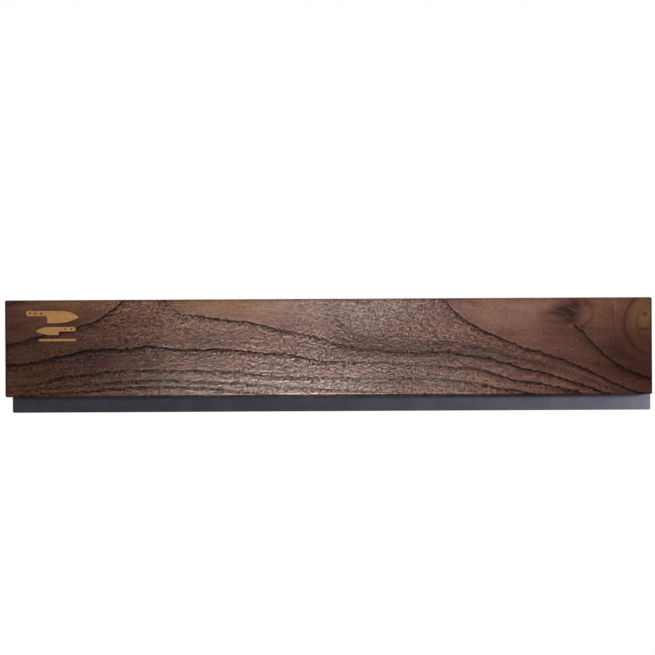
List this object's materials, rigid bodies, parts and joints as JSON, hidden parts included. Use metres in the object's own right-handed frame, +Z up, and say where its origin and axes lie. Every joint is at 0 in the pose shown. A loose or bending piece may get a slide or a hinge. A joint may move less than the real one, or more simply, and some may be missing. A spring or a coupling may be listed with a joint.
{
  "type": "magnetic knife strip",
  "caption": "Wall-hung walnut bar with magnets hidden behind a thin front skin, on a dark back plate with keyholes, for holding kitchen knives by their blades.",
  "frame": {"origin": "on the wall's surface, at the middle of the bar's length and of the wood's height, which is the centre of the rubber pad's rear face", "axes": "+X along the bar, to the right seen from the front; +Z up; +Y into the wall, so the face that holds the knives looks along -Y"},
  "size_m": [0.4, 0.0478, 0.0698],
  "materials": {
    "walnut": "satin",
    "tan_inlay": "satin",
    "dark_painted_steel": "satin",
    "bare_steel": "satin",
    "zinc_steel": "satin",
    "ferrite": "matte",
    "grey_foam": "matte",
    "black_rubber": "matte",
    "grey_nylon": "matte"
  },
  "bodies": {
    "wall_fixings": {"wall_screw_left": "zinc_steel", "wall_screw_right": "zinc_steel", "wall_plug_left": "grey_nylon", "wall_plug_right": "grey_nylon"},
    "bar": {"walnut_bar": "walnut", "mark_knife_upper": "tan_inlay", "mark_knife_lower": "tan_inlay", "mark_line": "tan_inlay", "back_plate": "dark_painted_steel", "pole_rail_upper": "bare_steel", "pole_rail_lower": "bare_steel", "magnet_01": "ferrite", "magnet_02": "ferrite", "magnet_03": "ferrite", "magnet_04": "ferrite", "magnet_05": "ferrite", "magnet_06": "ferrite", "magnet_07": "ferrite", "magnet_08": "ferrite", "magnet_09": "ferrite", "magnet_10": "ferrite", "magnet_11": "ferrite", "magnet_12": "ferrite", "foam_strip": "grey_foam", "plate_screw_1": "zinc_steel", "plate_screw_2": "zinc_steel", "plate_screw_3": "zinc_steel", "plate_screw_4": "zinc_steel", "plate_screw_5": "zinc_steel", "plate_screw_6": "zinc_steel", "plate_screw_7": "zinc_steel", "plate_screw_8": "zinc_steel", "wall_pad": "black_rubber"}
  },
  "joints": [
    {"name": "lift_off", "type": "slide", "parent": "wall_fixings", "child": "bar", "axis": [0, 0, 1], "range_m": [0, 0.009]}
  ]
}
